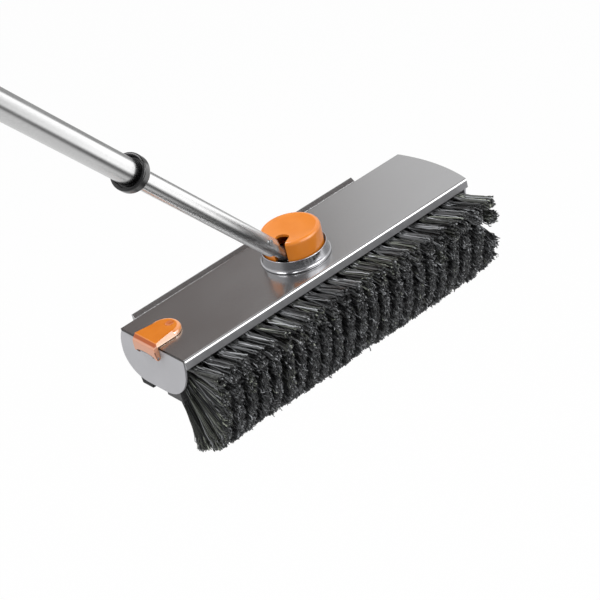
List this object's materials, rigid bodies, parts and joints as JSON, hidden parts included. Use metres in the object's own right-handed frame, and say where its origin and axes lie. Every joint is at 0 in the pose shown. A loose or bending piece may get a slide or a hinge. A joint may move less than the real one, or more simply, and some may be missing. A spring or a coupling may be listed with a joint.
{
  "type": "floor scrub brush",
  "caption": "Floor scrub brush with a folded steel head, a fan of stiff bristles on a slide-out block, a turning and tilting hub, an end latch and a telescopic pole.",
  "frame": {"origin": "the hub's turning axis on the top surface of the sheet cover", "axes": "+Z out of the sheet along the hub's axis, +X along the head towards the convex end, -Y towards the bristles' side"},
  "size_m": [0.7304, 0.3482, 0.7472],
  "materials": {
    "brushed_steel": "satin",
    "end_plate_grey": "matt",
    "chrome": "polished",
    "bearing_grey": "matt",
    "pin_steel": "plain",
    "block_grey": "matt",
    "bristle_charcoal": "satin filaments",
    "pad_black": "rough",
    "orange_plastic": "gloss",
    "tube_steel": "satin",
    "collar_black": "satin",
    "grip_rubber": "matt"
  },
  "bodies": {
    "head": {"cover": "brushed_steel", "right_end_plate": "end_plate_grey", "rear_rail": "brushed_steel", "slide_rail_front": "brushed_steel", "slide_rail_rear": "brushed_steel", "hub_ring": "chrome", "hub_bush": "bearing_grey", "hub_screw_1": "pin_steel", "hub_screw_2": "pin_steel", "hub_screw_3": "pin_steel"},
    "cartridge": {"left_end_plate": "end_plate_grey", "brush_block": "block_grey", "bristle_row_1": "bristle_charcoal", "bristle_row_2": "bristle_charcoal", "bristle_row_3": "bristle_charcoal", "bristle_row_4": "bristle_charcoal", "bristle_row_5": "bristle_charcoal", "bristle_row_6": "bristle_charcoal", "rear_pad": "pad_black", "latch_pin": "pin_steel"},
    "latch": {"end_latch": "orange_plastic"},
    "swivel": {"hub_knob": "orange_plastic", "swivel_base": "pin_steel", "tilt_pin": "pin_steel", "thrust_washer": "bearing_grey", "retaining_ring": "pin_steel"},
    "stem": {"stem_knuckle": "pin_steel", "inner_tube": "tube_steel", "stem_rivet": "pin_steel", "lock_plug": "bearing_grey", "lock_cam": "bearing_grey"},
    "pole": {"outer_tube": "tube_steel", "tube_bush": "collar_black", "grip": "grip_rubber", "end_cap": "collar_black"},
    "collar": {"lock_collar": "collar_black"}
  },
  "joints": [
    {"name": "cartridge_slide", "type": "slide", "parent": "head", "child": "cartridge", "axis": [-1, 0, 0], "range_m": [0, 0.29]},
    {"name": "latch_hinge", "type": "hinge", "parent": "cartridge", "child": "latch", "pos_m": [-0.1482, 0.0083, -0.0088], "axis": [0, -1, 0], "range_deg": [0, 100]},
    {"name": "hub_turn", "type": "hinge", "parent": "head", "child": "swivel", "pos_m": [0, 0, 0], "axis": [0, 0, 1], "continuous": true},
    {"name": "pole_tilt", "type": "hinge", "parent": "swivel", "child": "stem", "pos_m": [-0.01426, -0.00726, 0.01], "axis": [-0.454, 0.891, 0], "range_deg": [-12, 44]},
    {"name": "pole_extend", "type": "slide", "parent": "stem", "child": "pole", "axis": [-0.6212, -0.3165, 0.7169], "range_m": [-0.19, 0.3]},
    {"name": "collar_twist", "type": "hinge", "parent": "pole", "child": "collar", "pos_m": [-0.16831, -0.08576, 0.18779], "axis": [-0.6212, -0.3165, 0.7169], "range_deg": [0, 90]}
  ]
}
